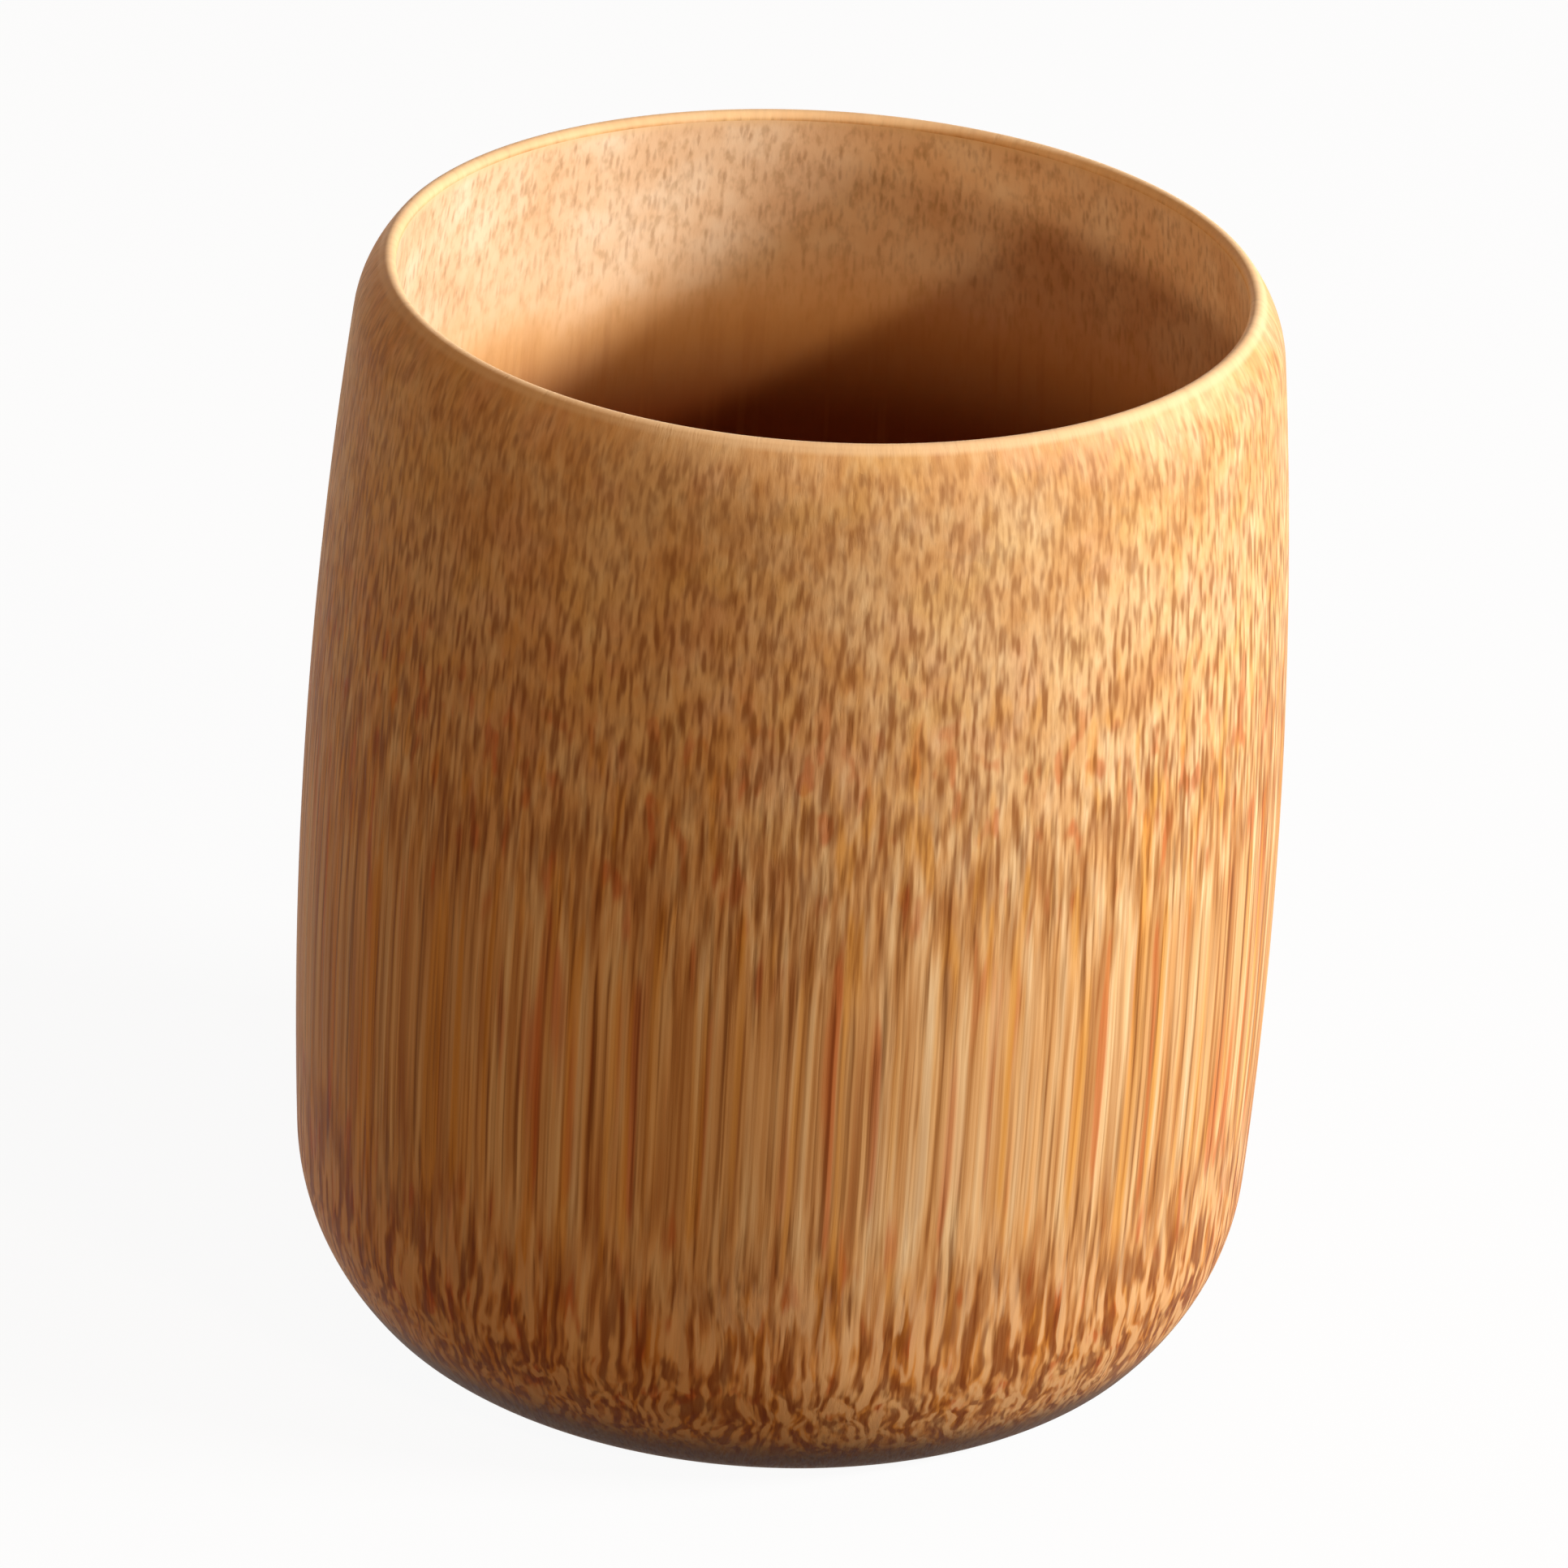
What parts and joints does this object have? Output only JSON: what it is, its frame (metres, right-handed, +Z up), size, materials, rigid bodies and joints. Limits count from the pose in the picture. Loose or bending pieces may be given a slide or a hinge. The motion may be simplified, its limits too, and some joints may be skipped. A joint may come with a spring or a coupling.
{
  "type": "bamboo cup",
  "caption": "Handleless barrel-shaped bamboo cup turned from a culm, with a drawn-in lip and a foot ring; its own node closes the bottom and clear lacquer seals the inside.",
  "frame": {"origin": "centre of the foot, in the plane that the cup stands on", "axes": "+Z up along the cup's axis, towards the mouth; +X to the right and -Y towards the viewer in the picture"},
  "size_m": [0.075, 0.075, 0.0848],
  "materials": {
    "turned_bamboo": "satin lacquered, with dark fibre bundles that run along the cup",
    "node_bamboo": "bare turned end grain, matt",
    "clear_lacquer": "clear food-safe lacquer over pale bamboo, glossy"
  },
  "bodies": {
    "root": {"culm_wall": "turned_bamboo", "node_diaphragm": "node_bamboo", "inner_lacquer": "clear_lacquer"}
  },
  "joints": []
}
